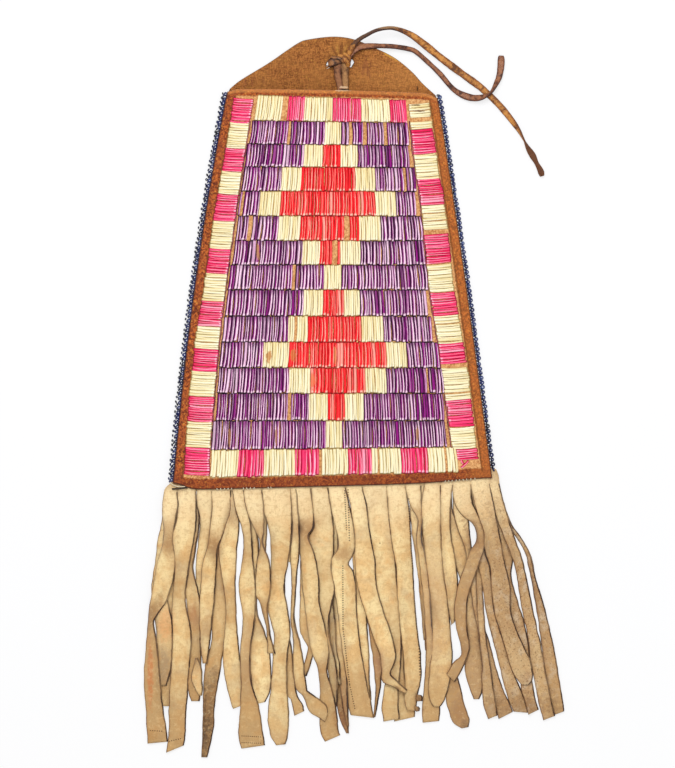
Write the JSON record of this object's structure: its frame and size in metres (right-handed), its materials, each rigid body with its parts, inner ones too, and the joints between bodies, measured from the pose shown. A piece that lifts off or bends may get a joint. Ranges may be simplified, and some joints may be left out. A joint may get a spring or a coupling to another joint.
{
  "type": "quillwork dispatch bag",
  "caption": "Flat hide pouch with a quilled front, beaded side seams, a long cut fringe, a rounded flap and a knotted tie thong.",
  "frame": {"origin": "middle of the pouch on the outer face of its back, which is the face that it lies on", "axes": "+Z out of the quilled front, +Y from the fringe towards the flap, +X to the right of someone who looks down on the front"},
  "size_m": [0.2479, 0.4386, 0.0136],
  "materials": {
    "flap_hide": "smoked brown hide, crazed",
    "stained_hide": "hide stained red brown, matte",
    "purple_quill": "dyed quill, faded, low sheen",
    "red_quill": "dyed quill, low sheen",
    "cream_quill": "undyed quill, low sheen",
    "pink_quill": "dyed quill, low sheen",
    "blue_beads": "opaque glossy glass",
    "fringe_hide": "pale tanned hide, suede",
    "golden_thong": "rolled hide thong, worn",
    "dark_thong": "rolled hide thong, dark with handling"
  },
  "bodies": {
    "root": {"back_panel": "flap_hide", "front_panel": "stained_hide", "quill_border_top": "pink_quill", "quill_lane_01": "purple_quill", "quill_lane_02": "purple_quill", "quill_lane_03": "purple_quill", "quill_lane_04": "purple_quill", "quill_lane_05": "purple_quill", "quill_lane_06": "purple_quill", "quill_lane_07": "purple_quill", "quill_lane_08": "purple_quill", "quill_lane_09": "purple_quill", "quill_lane_10": "purple_quill", "quill_lane_11": "purple_quill", "quill_lane_12": "purple_quill", "quill_lane_13": "purple_quill", "quill_border_bottom": "cream_quill", "quill_border_left": "pink_quill", "quill_border_right": "cream_quill", "bead_edging_left": "blue_beads", "bead_edging_right": "blue_beads", "fringe_back": "fringe_hide", "fringe_front": "fringe_hide", "thong_leg_left": "golden_thong", "thong_leg_right": "golden_thong", "thong_tail_long": "golden_thong", "thong_tail_short": "dark_thong", "thong_knot": "dark_thong"}
  },
  "joints": []
}
